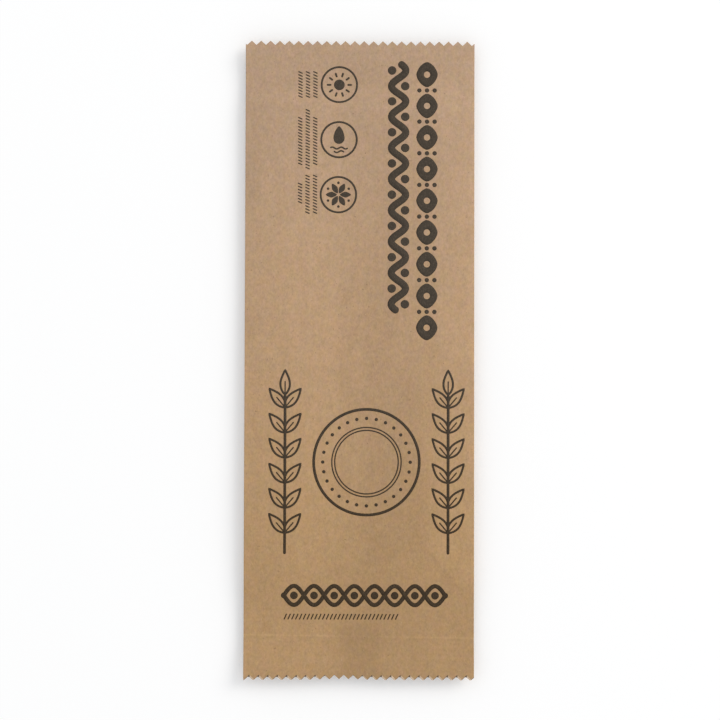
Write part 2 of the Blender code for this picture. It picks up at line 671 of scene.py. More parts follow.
@dataclass(frozen=True)
class KraftPaper:
    """Uncoated brown kraft paper: clouded, faintly streaked along Y, with fibres and a few specks.

    Its tone turns slowly from head to foot, partly as painted light. It is a little darker over the
    back seam's lap, most where the lap is glued in the foot's seal. Soft patches of painted light and
    painted shade lie over the front, with a painted gradient across its corners. It is paler at the
    side folds and along the foot's crease, partly where the fibres have opened and partly painted light.
    """

    slot: str = "kraft_paper"
    # From foot to head the paper turns lighter and greyer, partly as painted light
    head: Colour = (0.456, 0.312, 0.213)
    middle: Colour = (0.465, 0.306, 0.188)
    foot: Colour = (0.410, 0.260, 0.136)
    foot_span: Pair = mm(-75, 25)
    head_span: Pair = mm(5, 100)
    drift: Clouds = Clouds(*mm(40, 55, 50), 3.1)
    # lean: painted light and shade, lighter towards the head's right and the foot's left corners, darker
    # towards the other two
    lean: float = 0.033
    layers: tuple[Clouds, ...] = (
        Clouds(*mm(30, 38), 0.080, 5.7),
        Clouds(*mm(6.0, 9.0), 0.150, 1.9, 2.0),
        Clouds(*mm(2.2, 3.2), 0.105, 8.2),
        Clouds(*mm(0.92, 1.25), 0.300, 27.3),
        Clouds(*mm(0.42, 0.70), 0.330, 14.6, 2.0),
        Clouds(*mm(0.80, 60), 0.050, 21.4),
    )
    warm: Clouds = Clouds(*mm(2.6, 3.4), 1.0, 11.3, 2.0)
    warm_tint: Colour = (1.035, 0.985, 0.985)
    sallow: Clouds = Clouds(*mm(1.5, 2.1), 1.0, 17.9, 2.0)
    sallow_tint: Colour = (1.0, 1.008, 0.885)
    tint_span: Pair = (0.3, 0.7)
    lap_left: Pair = mm(-10.0, -2.0)
    lap_right: Pair = mm(3.5, 12.0)
    lap_shade: float = -0.13
    lap_above_seal: Pair = (0.38, 0.10)
    lap_fade: Pair = mm(88, 104)
    glued_right: Pair = mm(17, 30)
    glued_share: float = 0.33
    seal_span: Pair = mm(-92, -80)
    # Soft patches of painted light and painted shade: darker right of the middle and along the left
    # fold, lighter elsewhere
    painted_light_and_shade: tuple[PaintedLightPatch, ...] = (
        PaintedLightPatch(mm(-2, 12), mm(17, 31), mm(-100, -35), mm(35, 125), -0.093),
        PaintedLightPatch(mm(9, 13), mm(20, 27), mm(-8, 0), mm(12, 20), 0.040),
        PaintedLightPatch(mm(-27, -19), mm(-17, -8), mm(-85, -60), mm(60, 100), 0.036),
        PaintedLightPatch(mm(-30, -22), mm(-2, 5), mm(-80, -60), mm(-30, -5), 0.030),
        PaintedLightPatch(mm(17, 26), mm(38, 39), mm(-78, -66), mm(-27, -7), 0.065),
        PaintedLightPatch(mm(-39, -38), mm(-35, -29), mm(44, 52), mm(80, 92), -0.050),
        PaintedLightPatch(mm(-39, -38), mm(-35, -29), mm(-8, 2), mm(14, 24), -0.050),
    )
    # The paler crease line and fold rims are partly wear of opened fibres and partly painted light: a
    # highlight on the crease ridge's lit side and along the folds' rims
    crease_wear_and_highlight: float = 0.085
    crease_half: float = 0.68 * MM
    crease_spared: float = 0.8
    fold_wear_and_light: float = 0.022
    fold_band: float = 4 * MM
    speck: Colour = (0.17, 0.105, 0.055)
    specks: Clouds = Clouds(*mm(0.55, 0.8), 0.55, 33.0, deep=0.6 * MM)
    speck_span: Pair = (0.72, 0.79)
    fleck: Colour = (0.62, 0.45, 0.29)
    flecks: Clouds = Clouds(*mm(0.35, 1.1), 0.35, 52.0, deep=0.6 * MM)
    fleck_span: Pair = (0.72, 0.80)
    roughness: float = 0.84
    roughness_range: float = 0.12
    specular: float = 0.25
    fibre_height: float = 0.035 * MM
    fibre_strength: float = 0.5

    def make(self, form: PacketForm) -> bpy.types.Material:
        """Makes the material: its tone, times its light and dark, under the specks and flecks.

        Args:
            form: the packet that it covers.

        Returns:
            The material.
        """
        sketch = NodeSketch(bpy.data.materials.new(self.slot))
        over_lap = self.over_lap(sketch)
        # Painted light and shade across the corners: lighter at the head's right and the foot's left
        lean = 4 * self.lean / (form.width * form.length)
        light = sketch.product(
            self.clouded(sketch),
            sketch.calc("MULTIPLY_ADD", over_lap, self.lap_shade, 1.0),
            sketch.calc("ADD", self.wear_and_highlight(sketch, over_lap, form), 1.0),
            sketch.calc("MULTIPLY_ADD", sketch.product(*sketch.across_and_along), lean, 1.0),
            # Times the soft patches of painted light and painted shade
            *(sketch.calc("ADD", patch.fac(sketch), 1.0) for patch in self.painted_light_and_shade),
        )
        shade = sketch.add("CombineColor")
        for channel in shade.inputs:
            sketch.link(light, channel)
        tone = sketch.blend(1.0, self.tone(sketch), shade.outputs["Color"], "MULTIPLY")
        for clouds, span, colour in (
            (self.specks, self.speck_span, self.speck),
            (self.flecks, self.fleck_span, self.fleck),
        ):
            tone = sketch.blend(sketch.span(clouds.fac(sketch), *span, 0.0, clouds.amount), tone, colour)
        fibres = FIBRES.fac(sketch)
        smoothest = self.roughness - self.roughness_range / 2
        roughness = sketch.calc("MULTIPLY_ADD", fibres, self.roughness_range, smoothest)
        sketch.dress(tone, roughness, self.specular)
        sketch.bump(fibres, self.fibre_height, self.fibre_strength)
        return sketch.owner

    def tone(self, sketch: NodeSketch) -> Socket:
        """The paper's hue from foot to head, with warmer and yellower clouds in it.

        Args:
            sketch: the material's nodes.

        Returns:
            The colour's socket.
        """
        cloud = sketch.calc("SUBTRACT", self.drift.fac(sketch), 0.5)
        along = sketch.calc("MULTIPLY_ADD", cloud, self.drift.amount, sketch.across_and_along[1])
        tone = sketch.blend(sketch.span(along, *self.foot_span), self.foot, self.middle)
        tone = sketch.blend(sketch.span(along, *self.head_span), tone, self.head)
        for clouds, tint in ((self.warm, self.warm_tint), (self.sallow, self.sallow_tint)):
            tinted = sketch.blend(1.0, tone, tint, "MULTIPLY")
            tone = sketch.blend(sketch.span(clouds.fac(sketch), *self.tint_span), tone, tinted)
        return tone

    def clouded(self, sketch: NodeSketch) -> Socket:
        """Light and dark clouds of several sizes, 1 on average.

        Args:
            sketch: the material's nodes.

        Returns:
            The light's socket.
        """
        light = 1.0 - sum(clouds.amount for clouds in self.layers) / 2
        for clouds in self.layers:
            light = sketch.calc("MULTIPLY_ADD", clouds.fac(sketch), clouds.amount, light)
        return light

    def over_lap(self, sketch: NodeSketch) -> Socket:
        """1 over the glued lap in the foot's seal, less above it, a trace on the glued ply to its
        right, and 0 beside both.

        Args:
            sketch: the material's nodes.

        Returns:
            The socket of the share.
        """
        x, y = sketch.across_and_along
        in_seal = sketch.span(y, *self.seal_span, 1.0, 0.0)
        above = sketch.span(y, *self.lap_fade, *self.lap_above_seal)
        along = sketch.calc("MAXIMUM", in_seal, above)
        lap = sketch.product(sketch.span(x, *self.lap_right, 1.0, 0.0), along)
        glued = sketch.product(sketch.span(x, *self.glued_right, self.glued_share, 0.0), in_seal)
        return sketch.product(sketch.span(x, *self.lap_left), sketch.calc("MAXIMUM", lap, glued))

    def wear_and_highlight(self, sketch: NodeSketch, over_lap: Socket, form: PacketForm) -> Socket:
        """How much paler the paper is at the side folds and along the foot's crease: partly where the
        fibres have opened, partly painted light on the folds' rims and on the crease ridge's lit side.

        Args:
            sketch: the material's nodes.
            over_lap: 1 over the lap, whose extra paper spares a part of the crease.
            form: the packet that the paper covers.

        Returns:
            The added share of light.
        """
        x, y = sketch.across_and_along
        fold = form.width / 2
        folds = sketch.span(sketch.calc("ABSOLUTE", x), fold - self.fold_band, fold, 0.0, self.fold_wear_and_light)
        crease = form.foot_crease - form.pressed.beyond_seal
        line = sketch.calc("MULTIPLY_ADD", x, form.pressed.slant, crease)
        creased = sketch.product(
            sketch.near(y, line, self.crease_half),
            sketch.calc("MULTIPLY_ADD", over_lap, -self.crease_spared, 1.0),
            self.crease_wear_and_highlight,
        )
        return sketch.calc("ADD", folds, creased)


@dataclass(frozen=True)
class CutEdge:
    """Where the knife has opened the paper: the ply's thickness and the strip of the back ply
    that shows past the front one. Along each tooth's left flank the strip is pale, along the
    right one it is painted shade where the front ply overhangs it, and in the valleys, where the
    plies part, the gap between them is a painted shadow.
    """

    pale: Colour = (0.68, 0.52, 0.37)
    # shaded and dark are painted shade: the flank strip under the front ply's overhang, and the shadow
    # in the valleys' gap
    shaded: Colour = (0.31, 0.215, 0.14)
    dark: Colour = (0.11, 0.08, 0.052)
    pale_from: Pair = (0.52, 0.58)
    pale_to: Pair = (0.97, 1.0)
    gap_shadow_from: Pair = (0.23, 0.45)
    gap_shadow_to: Pair = (0.48, 0.54)
    fibres: Clouds = Clouds(*mm(0.22, 0.22), 1.0, 6.6, 2.0, deep=0.08 * MM)
    fibre_span: Pair = (0.35, 0.65)
    dullest: float = 0.8
    roughness: float = 0.95
    specular: float = 0.15

    def make(self, form: PacketForm) -> bpy.types.Material:
        """Makes the material. The place within a tooth is the fraction of x over the knife's pitch.

        Args:
            form: the packet that was cut.

        Returns:
            The material.
        """
        sketch = NodeSketch(bpy.data.materials.new("cut_edge"))
        knife = form.knife
        offset = (form.width / 2 - knife.first_tip) / knife.pitch
        turns = sketch.calc("MULTIPLY_ADD", sketch.across_and_along[0], 1 / knife.pitch, offset)
        phase = sketch.calc("FRACT", turns)
        dull = tuple(self.dullest * channel for channel in self.pale)
        fibrous = sketch.blend(sketch.span(self.fibres.fac(sketch), *self.fibre_span), dull, self.pale)
        ledge = sketch.blend(sketch.between(phase, self.pale_from, self.pale_to), self.shaded, fibrous)
        tone = sketch.blend(sketch.between(phase, self.gap_shadow_from, self.gap_shadow_to), ledge, self.dark)
        sketch.dress(tone, self.roughness, self.specular)
        return sketch.owner


@dataclass(frozen=True)
class PrintedInk:
    """Dark brown ink, soaked into the paper so that a little of its grain shows. It turns a little
    lighter and greyer from foot to head, as the paper does, partly as painted light."""

    slot: str = "printed_ink"
    # From foot to head the ink turns lighter and greyer, partly as painted light
    foot: Colour = (0.042, 0.027, 0.014)
    foot_thin: Colour = (0.069, 0.047, 0.026)
    head: Colour = (0.0525, 0.0405, 0.029)
    head_thin: Colour = (0.080, 0.061, 0.043)
    turn_span: Pair = mm(-70, 20)
    grain: Clouds = Clouds(*mm(0.34, 0.62), 1.0, 14.6, 2.0, deep=0.4 * MM)
    grain_span: Pair = (0.42, 0.72)
    roughness: float = 0.8
    specular: float = 0.18
    fibre_height: float = 0.03 * MM
    fibre_strength: float = 0.4

    def make(self) -> bpy.types.Material:
        """Makes the material. Ink lies thinner where the paper's fibres stand up.

        Returns:
            The material.
        """
        sketch = NodeSketch(bpy.data.materials.new(self.slot))
        thinness = sketch.span(self.grain.fac(sketch), *self.grain_span)
        foot = sketch.blend(thinness, self.foot, self.foot_thin)
        head = sketch.blend(thinness, self.head, self.head_thin)
        headward = sketch.span(sketch.across_and_along[1], *self.turn_span)
        sketch.dress(sketch.blend(headward, foot, head), self.roughness, self.specular)
        sketch.bump(FIBRES.fac(sketch), self.fibre_height, self.fibre_strength)
        return sketch.owner


# The wrapper


@dataclass
class Wrapper:
    """The packet's paper: a closed skin of front, back, rounded side folds and cut ends."""

    form: PacketForm
    paper: KraftPaper
    cut: CutEdge
    columns_per_flank: int = 3
    straight_rows: int = 300
    foot_crowding: float = 4.0
    foot_band: float = 1.6 * MM
    head_crowding: float = 1.5
    head_band: float = 2.0 * MM
    tooth_rows: int = 6
    tooth_zone: float = 3.2 * MM
    fold_points: int = 3
    ply_gap: float = 0.012 * MM
    sharp_deg: float = 35.0
    back_shift: float = 0.3 * MM
    head_recess: float = 0.12 * MM
    foot_drop: float = 0.10 * MM
    head_drop: float = 0.13 * MM
    bay_centre: float = -5.4 * MM
    bay_width: float = 7.5 * MM
    head_slant: float = -0.0028

    def columns(self) -> np.ndarray:
        """X of each column: the folds, steps that hit each tip and valley, and the lap's edge.

        Returns:
            The places from left to right.
        """
        form = self.form
        reach = form.width / 2 - form.paper
        step = form.knife.pitch / 2 / self.columns_per_flank
        knife = np.arange(-form.width / 2 + form.knife.first_tip, reach - step / 4, step)
        lap = [form.lap_edge, form.lap_edge + form.lap_edge_run]
        return np.unique(np.concatenate([[-reach, reach], knife, lap]))

    def straight(self) -> np.ndarray:
        """Y of the straight rows. Their density is higher by a bell curve where each seal starts,
        and each row stands where the running sum of the density reaches its share.

        Returns:
            The places from foot to head.
        """
        form = self.form
        reach = form.length / 2 - self.tooth_zone
        samples = 4000
        y = np.linspace(-reach, reach, samples)
        density = 1 + self.foot_crowding * bell(y - form.foot_crease, self.foot_band)
        total = np.cumsum(density + self.head_crowding * bell(y - form.head_crease, self.head_band))
        shares = np.linspace(total[0], total[-1], self.straight_rows)
        return np.interp(shares, total, y)

    def rows(self, x: np.ndarray, foot_line: np.ndarray, head_line: np.ndarray) -> np.ndarray:
        """Y of every row at every column: straight rows, which bend to the zigzag at both ends.

        Args:
            x: the columns.
            foot_line: Y of the foot's cut at each column.
            head_line: Y of the head's cut at each column.

        Returns:
            One row of Y values for each mesh row, from foot to head.
        """
        straight = self.straight()
        share = np.linspace(0, 1, self.tooth_rows, endpoint=False)[:, None]
        foot = foot_line * (1 - share) + straight[0] * share
        head = head_line * (1 - share[::-1]) + straight[-1] * share[::-1]
        middle = np.broadcast_to(straight[:, None], (len(straight), len(x)))
        return np.concatenate([foot, middle, head])

    def sections(self) -> np.ndarray:
        """The skin as a closed profile carried along Y.

        Each profile runs over the front from left to right, round the right fold's half circle,
        over the back from right to left, and round the left fold. At the foot the back ply stands
        out past the front one, and its teeth lie a little to the left, except in a bay where the
        paper's bulge draws it in, by a bell curve of x. The head's cut is a little askew.

        Returns:
            Points as rows by profile points by 3.
        """
        form = self.form
        x = self.columns()
        half = form.length / 2
        cut = form.knife.line(x + form.width / 2)
        proud = 1 - bell(x - self.bay_centre, self.bay_width)
        back_cut = form.knife.line(x + form.width / 2 + self.back_shift * proud)
        foot = -half + form.knife.depth - self.foot_drop + form.back_ply_proud
        head = half - self.head_drop + self.head_slant * x
        front_y = self.rows(x, foot - cut, head - cut)
        back_foot = foot - form.back_ply_proud * proud - back_cut
        back_y = self.rows(x, back_foot, head - self.head_recess - cut)
        front = np.stack([x + 0 * front_y, front_y, form.front_height(x, front_y)], axis=2)
        back = np.stack([x + 0 * back_y, back_y, form.back_height(x, back_y)], axis=2)

        angle = math.pi * (np.arange(self.fold_points) + 1) / (self.fold_points + 1)
        upper = (1 + np.cos(angle))[None, :, None] / 2
        folds = []
        for side in (-1, 0):
            top, bottom = front[:, side, None, :], back[:, side, None, :]
            arc = top * upper + bottom * (1 - upper)
            arc[:, :, 0] += math.copysign(form.paper, x[side]) * np.sin(angle)
            folds.append(arc)
        return np.concatenate([front, folds[0], back[:, ::-1], folds[1][:, ::-1]], axis=1)

    def cap(self, sections: np.ndarray, row: int, first_new: int) -> tuple[np.ndarray, list]:
        """Closes one cut end: down the front ply's cut, along the step, and down the back ply's.

        Args:
            sections: the skin's points, as sections() gives them.
            row: the end's row, 0 or the last.
            first_new: the number that the first new vertex will have.

        Returns:
            The new vertices and the new faces.
        """
        columns = len(self.columns())
        around = sections.shape[1]
        start = row * around
        front = start + np.arange(columns)
        back = start + columns + self.fold_points + np.arange(columns)[::-1]
        points = sections.reshape(-1, 3)
        under_front, over_back = points[front].copy(), points[back].copy()
        over_back[:, 2] += self.form.paper
        under_front[:, 2] = over_back[:, 2] + self.ply_gap
        upper = first_new + np.arange(columns)
        lower = upper + columns
        lines = np.stack([front, upper, lower, back])
        quads = grid_faces(len(lines), columns)
        faces = lines.ravel()[quads].tolist()
        right = start + columns + np.arange(self.fold_points)
        left = start + around - self.fold_points + np.arange(self.fold_points)
        faces.append([front[-1], *right, back[-1], lower[-1], upper[-1]])
        faces.append([back[0], *left, front[0], upper[0], lower[0]])
        return np.concatenate([under_front, over_back]), [list(map(int, face)) for face in faces]

    def lap_step_column(self) -> int:
        """Finds the face that steps down at the lap's free edge.

        Returns:
            Its place in the profile.
        """
        columns = self.columns()
        edge = int(np.argmin(np.abs(columns - self.form.lap_edge)))
        return 2 * len(columns) + self.fold_points - 2 - edge

    def build(self) -> bpy.types.Object:
        """Makes the skin as one closed mesh and dresses it.

        Returns:
            The piece that stands for the packet's solid.
        """
        sections = self.sections()
        rows, around = sections.shape[:2]
        skin = grid_faces(rows, around, closed=True).tolist()
        points = sections.reshape(-1, 3)
        foot_points, foot_faces = self.cap(sections, 0, len(points))
        head_points, head_faces = self.cap(sections, rows - 1, len(points) + len(foot_points))
        points = np.concatenate([points, foot_points, head_points])
        piece = add_piece("paper_wrapper", points, skin + foot_faces + head_faces, self.sharp_deg)

        mesh = bmesh.new()
        mesh.from_mesh(piece.data)
        bmesh.ops.recalc_face_normals(mesh, faces=mesh.faces[:])
        mesh.to_mesh(piece.data)
        mesh.free()

        piece.data.materials.append(self.paper.make(self.form))
        piece.data.materials.append(self.cut.make(self.form))
        cut_index = 1
        dressed = np.zeros(len(piece.data.polygons), np.int32)
        dressed[len(skin):] = cut_index
        # The lap's step face takes the cut edge's material, which at the lap's x gives it the flank's
        # painted shade
        dressed[: len(skin)].reshape(rows - 1, around)[:, self.lap_step_column()] = cut_index
        piece.data.polygons.foreach_set("material_index", dressed)
        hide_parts(NODE)
        return piece


# Flat shapes of ink, as patches of points on the printed face


def polar(centre: Place, radius: np.ndarray | float, angle: np.ndarray) -> np.ndarray:
    """The points at the given distances and directions from a centre."""
    return np.stack([centre[0] + radius * np.cos(angle), centre[1] + radius * np.sin(angle)], axis=-1)


def turns(count: int) -> np.ndarray:
    """Directions evenly round a circle, the first along +X."""
    return np.arange(count) * 2 * math.pi / count


def circle(centre: Place, radius: float, count: int = 180) -> np.ndarray:
    """Points evenly round a circle."""
    return polar(centre, radius, turns(count))


def disc(centre: Place, radius: float, steps: int = 4) -> Patch:
    """A round dot: a spot whose edge is everywhere as far."""
    return spot(centre, lambda angle: radius + 0 * angle, steps)


def spot(centre: Place, edge: Edge, steps: int = 8) -> Patch:
    """A solid shape about a centre.

    A square grid (u, v) is drawn out to a unit disc, x = u sqrt(1 - v^2 / 2) and y likewise, and
    each point is then moved out in proportion to the edge's distance in its direction.

    Args:
        centre: the shape's middle.
        edge: a function from angles to the distances of the edge.
        steps: the grid's steps each way.

    Returns:
        The points and faces of the shape.
    """
    u, v = np.meshgrid(np.linspace(-1, 1, steps + 1), np.linspace(-1, 1, steps + 1))
    x, y = u * np.sqrt(1 - v * v / 2), v * np.sqrt(1 - u * u / 2)
    reach = edge(np.arctan2(y, x))
    points = np.stack([centre[0] + reach * x, centre[1] + reach * y], axis=2)
    return points.reshape(-1, 2), grid_faces(steps + 1, steps + 1)


def eyed_spot(centre: Place, edge: Edge, eye: float, around: int = 48, layers: int = 3) -> Patch:
    """A shape about a centre with a round hole: a grid of angle by share, from the hole's circle to
    the edge.

    Args:
        centre: the shape's middle.
        edge: a function from angles to the distances of the edge.
        eye: the hole's radius.
        around: how many steps the circle has.
        layers: how many steps lie between hole and edge.

    Returns:
        The points and faces of the shape.
    """
    angle = turns(around)
    share = np.linspace(0, 1, layers + 1)[:, None]
    points = polar(centre, eye * (1 - share) + edge(angle) * share, angle)
    return points.reshape(-1, 2), grid_faces(layers + 1, around, closed=True)


def lozenge(across: float, along: float, fullness: float, turn: float = 0.0) -> Edge:
    """The edge of a rounded lozenge, |x / across|^n + |y / along|^n = 1, as a function of angle.

    Args:
        across: half its width along x.
        along: half its length along y.
        fullness: the exponent n, from 1 for a straight-sided lozenge to 2 for an ellipse.
        turn: how far it is turned, in radians.

    Returns:
        A function from angles to distances.
    """

    def edge(angle: np.ndarray) -> np.ndarray:
        """The distance of the edge in each direction."""
        c, s = np.abs(np.cos(angle - turn)), np.abs(np.sin(angle - turn))
        return ((c / across) ** fullness + (s / along) ** fullness) ** (-1 / fullness)

    return edge


def droplet(radius: float, tip: float) -> Edge:
    """The edge of a drop with its point towards +Y, as a function of angle.

    It is a circle, drawn out to the tip by exp(-(turn / width)^power) of the turn from +Y.

    Args:
        radius: the circle's radius.
        tip: the distance of the tip.

    Returns:
        A function from angles to distances.
    """
    width, power = 0.55, 1.25

    def edge(angle: np.ndarray) -> np.ndarray:
        """The distance of the edge in each direction."""
        from_tip = np.abs(np.angle(np.exp(1j * (angle - math.pi / 2))))
        return radius + (tip - radius) * np.exp(-((from_tip / width) ** power))

    return edge


def resampled(path: np.ndarray, stations: np.ndarray) -> np.ndarray:
    """The points of a path at given distances along it.

    Args:
        path: the path's points.
        stations: the distances from its start.

    Returns:
        One point for each distance.
    """
    steps = np.hypot(*np.diff(path, axis=0).T)
    travelled = np.concatenate([[0], np.cumsum(steps)])
    return np.stack([np.interp(stations, travelled, path[:, k]) for k in (0, 1)], axis=1)


def path_length(path: np.ndarray) -> float:
    """The length of a path."""
    return float(np.hypot(*np.diff(path, axis=0).T).sum())


def sideways(path: np.ndarray, closed: bool) -> np.ndarray:
    """The unit vectors to the left of a path, from each point's two neighbours.

    Args:
        path: the path's points.
        closed: whether its last point joins its first.

    Returns:
        One vector for each point.
    """
    if closed:
        along = np.roll(path, -1, axis=0) - np.roll(path, 1, axis=0)
    else:
        along = np.gradient(path, axis=0)
    along /= np.hypot(*along.T)[:, None]
    return np.stack([-along[:, 1], along[:, 0]], axis=1)


def stroke(path: np.ndarray, width: float, spacing: float = 0.6 * MM) -> Patch:
    """A line with round ends: a flat profile carried along a path.

    Its half width h narrows over the last h of the path at both ends as sqrt(h^2 - (h - s)^2),
    where s is the distance from the end.

    Args:
        path: points along the line's middle.
        width: the line's width.
        spacing: about how far apart its cross-sections are.

    Returns:
        The points and faces of the line.
    """
    half = width / 2
    length = path_length(path)
    first_turn, end_steps = 0.22, 6
    turn = np.linspace(first_turn, math.pi / 2, end_steps)
    end = half * (1 - np.cos(turn))
    inner = np.linspace(half, length - half, max(2, int((length - width) / spacing) + 1))[1:-1]
    stations = np.concatenate([end, inner, length - end[::-1]])
    halves = np.concatenate([half * np.sin(turn), half + 0 * inner, half * np.sin(turn[::-1])])
    middle = resampled(path, stations)
    out = sideways(middle, closed=False) * halves[:, None]
    points = np.stack([middle + out, middle, middle - out], axis=1)
    return points.reshape(-1, 2), grid_faces(len(stations), 3)


def loop(path: np.ndarray, width: float, spacing: float = 0.6 * MM) -> Patch:
    """A closed line: a flat profile carried once round a path.

    Args:
        path: points round the line's middle, the first not repeated.
        width: the line's width.
        spacing: about how far apart its cross-sections are.

    Returns:
        The points and faces of the line.
    """
    ring = np.concatenate([path, path[:1]])
    fewest = 12
    count = max(fewest, round(path_length(ring) / spacing))
    middle = resampled(ring, np.arange(count) * path_length(ring) / count)
    out = sideways(middle, closed=True) * width / 2
    points = np.stack([middle + out, middle, middle - out])
    return points.reshape(-1, 2), grid_faces(3, count, closed=True)


def oval_leaf(base: Place, length: float, half_width: float, turn: float) -> np.ndarray:
    """A leaf's outline, pointed at both ends: at a share t of its length its half width is
    half_width * sin(pi t^skew), out along one side and back along the other.

    Args:
        base: where the leaf starts.
        length: from base to tip.
        half_width: half its greatest width.
        turn: the direction from base to tip, in radians.

    Returns:
        Points round the outline.
    """
    skew, steps = 0.8, 40
    share = np.linspace(0, 1, steps)
    side = half_width * np.sin(math.pi * share**skew)
    along = np.concatenate([share, share[-2:0:-1]]) * length
    across = np.concatenate([side, -side[-2:0:-1]])
    c, s = math.cos(turn), math.sin(turn)
    return np.stack([base[0] + along * c - across * s, base[1] + along * s + across * c], axis=1)


def ticks(first: Pair, last: Pair, pitch: float, height: float) -> list[Patch]:
    """A row of short slanted strokes, like stitches, on both sides of a straight line.

    Args:
        first: the line's first point.
        last: the line's last point.
        pitch: the distance from stroke to stroke.
        height: how far each stroke reaches across the line.

    Returns:
        One patch for each stroke.
    """
    slant, width = 0.45, 0.38 * MM
    run = np.array(last) - first
    length = float(np.hypot(*run))
    along = run / length
    across = np.array([-along[1], along[0]])
    half = (height * across + slant * height * along) / 2
    places = first + np.arange(0, length, pitch)[:, None] * along
    return [stroke(np.stack([place - half, place + half]), width, 0.5 * MM) for place in places]


@dataclass
class InkPiece:
    """Ink shapes that are laid on the front as one piece, a hair above the paper."""

    name: str
    form: PacketForm
    ink: bpy.types.Material
    slot: str
    lift: float = 0.035 * MM
    depth: float = 0.05 * MM
    layer: float = 0.004 * MM
    sharp_deg: float = 40.0
    points: list[np.ndarray] = field(default_factory=list)
    faces: list[np.ndarray] = field(default_factory=list)
    count: int = 0

    def add(self, patch: Patch, layer: int = 0) -> None:
        """Adds a patch, turned face up, on a layer that clears the ones it crosses.

        Args:
            patch: its points and faces.
            layer: 0, or 1 and more for a patch that crosses those below it.
        """
        points, faces = patch
        corners = points[faces]
        ahead = np.roll(corners, -1, axis=1)
        area = (corners[..., 0] * ahead[..., 1] - corners[..., 1] * ahead[..., 0]).sum()
        faces = faces if area > 0 else faces[:, ::-1]
        z = self.form.front_height(points[:, 0], points[:, 1]) + self.lift + layer * self.layer
        self.points.append(np.column_stack([points, z]))
        self.faces.append(faces + self.count)
        self.count += len(points)

    def lay(self) -> bpy.types.Object:
        """Makes the piece, with its depth going down into the paper.

        Returns:
            The new object.
        """
        faces = np.concatenate(self.faces).tolist()
        piece = add_piece(self.name, np.concatenate(self.points), faces, self.sharp_deg)
        body = piece.modifiers.new("depth", "SOLIDIFY")
        body.thickness = self.depth
        body.offset = -1.0
        piece.data.materials.append(self.ink)
        return piece


# The print: a generic set of ornaments


@dataclass
class LozengeBand:
    """A row of eyed lozenges with three dots between each two, along the packet."""

    centre: float = 21.95 * MM
    head: float = 97.6 * MM
    foot: float = 6.2 * MM
    repeats: int = 9
    half_width: float = 3.5 * MM
    half_length: float = 4.1 * MM
    fullness: float = 1.6
    eye: float = 1.05 * MM
    dot: float = 0.72 * MM
    dot_pitch: float = 2.5 * MM

    def draw(self, ink: InkPiece) -> None:
        """Adds the lozenges and the dots.

        Args:
            ink: the piece that takes the shapes.
        """
        places = np.linspace(self.head - self.half_length, self.foot + self.half_length, self.repeats)
        edge = lozenge(self.half_width, self.half_length, self.fullness)
        for y in places:
            ink.add(eyed_spot((self.centre, y), edge, self.eye))
        for y in (places[1:] + places[:-1]) / 2:
            for k in (-1, 0, 1):
                ink.add(disc((self.centre + k * self.dot_pitch, y), self.dot))


@dataclass
class WaveBand:
    """A broad wave with a dot in each hollow, along the packet."""

    centre: float = 12.65 * MM
    head: float = 97.4 * MM
    foot: float = 15.4 * MM
    periods: int = 8
    steps: int = 60
    swing: float = 2.35 * MM
    line: float = 2.35 * MM
    dot: float = 1.4 * MM
    dot_offset: float = 2.15 * MM

    def draw(self, ink: InkPiece) -> None:
        """Adds the wave, x = swing sin(y), and the dots on its open side at each crest.

        Args:
            ink: the piece that takes the shapes.
        """
        y = np.linspace(self.head, self.foot, self.steps * self.periods)
        phase = 2 * math.pi * self.periods * (self.head - y) / (self.head - self.foot)
        x = self.centre + self.swing * np.sin(phase)
        ink.add(stroke(np.stack([x, y], axis=1), self.line, spacing=0.45 * MM))
        crests = (np.arange(2 * self.periods) + 0.5) / (2 * self.periods)
        for k, share in enumerate(crests):
            side = 1 if k % 2 else -1
            place = (self.centre + side * self.dot_offset, self.head + (self.foot - self.head) * share)
            ink.add(disc(place, self.dot, steps=6))


class Motif(Enum):
    """What a badge shows."""

    SUN = "a disc with rays"
    DROP = "a drop of water"
    ROSETTE = "a six-petalled rosette"


